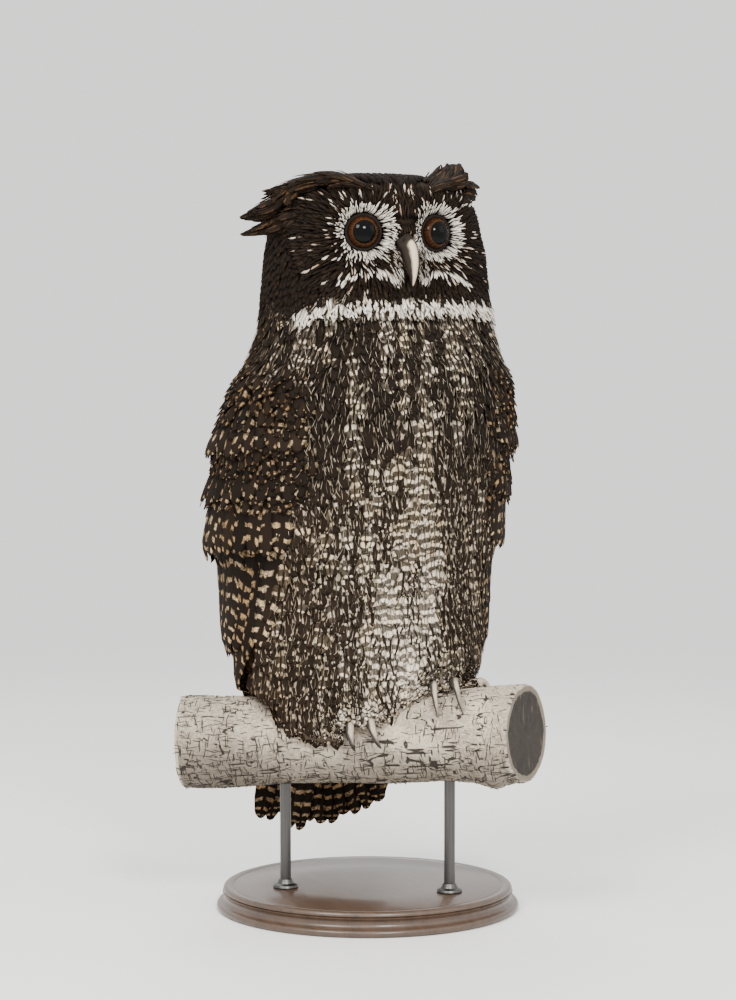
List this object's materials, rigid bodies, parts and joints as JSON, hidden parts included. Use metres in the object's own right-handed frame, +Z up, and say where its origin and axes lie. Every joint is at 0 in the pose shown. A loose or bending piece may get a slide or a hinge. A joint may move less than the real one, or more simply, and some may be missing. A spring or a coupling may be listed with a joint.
{
  "type": "eurasian eagle-owl on a branch",
  "caption": "Life-size eagle-owl with ear tufts and folded wings, perched on a cut length of branch and held by rods on a round display base.",
  "frame": {"origin": "middle of the stand base's underside", "axes": "+Z up, -Y the way the owl faces, +X towards the owl's left side"},
  "size_m": [0.3311, 0.28, 0.6857],
  "materials": {
    "plumage_dark": "matt dark brown feathers",
    "plumage_barred": "matt buff feathers with dark streaks and bars",
    "plumage_pale": "matt pale buff feathers",
    "eye": "clear and wet, dark brown iris under a clear dome",
    "bill": "satin grey horn",
    "claw": "polished dark horn",
    "bark": "rough cracked bark with sawn ends",
    "base_wood": "dark stained wood, satin",
    "rod_metal": "darkened steel, satin"
  },
  "bodies": {
    "root": {"bill_lower": "bill", "bill_upper": "bill", "claw_left_hind": "claw", "claw_left_inner": "claw", "claw_left_middle": "claw", "claw_left_outer": "claw", "claw_right_hind": "claw", "claw_right_inner": "claw", "claw_right_middle": "claw", "claw_right_outer": "claw", "ear_tuft_left": "plumage_dark", "ear_tuft_right": "plumage_dark", "eye_left": "eye", "eye_right": "eye", "foot_left": "plumage_pale", "foot_right": "plumage_pale", "head": "plumage_dark", "leg_left": "plumage_pale", "leg_right": "plumage_pale", "neck": "plumage_pale", "perch": "bark", "stand_base": "base_wood", "stand_rod_left": "rod_metal", "stand_rod_right": "rod_metal", "tail": "plumage_dark", "trunk": "plumage_barred", "wing_left": "plumage_dark", "wing_right": "plumage_dark"}
  },
  "joints": []
}
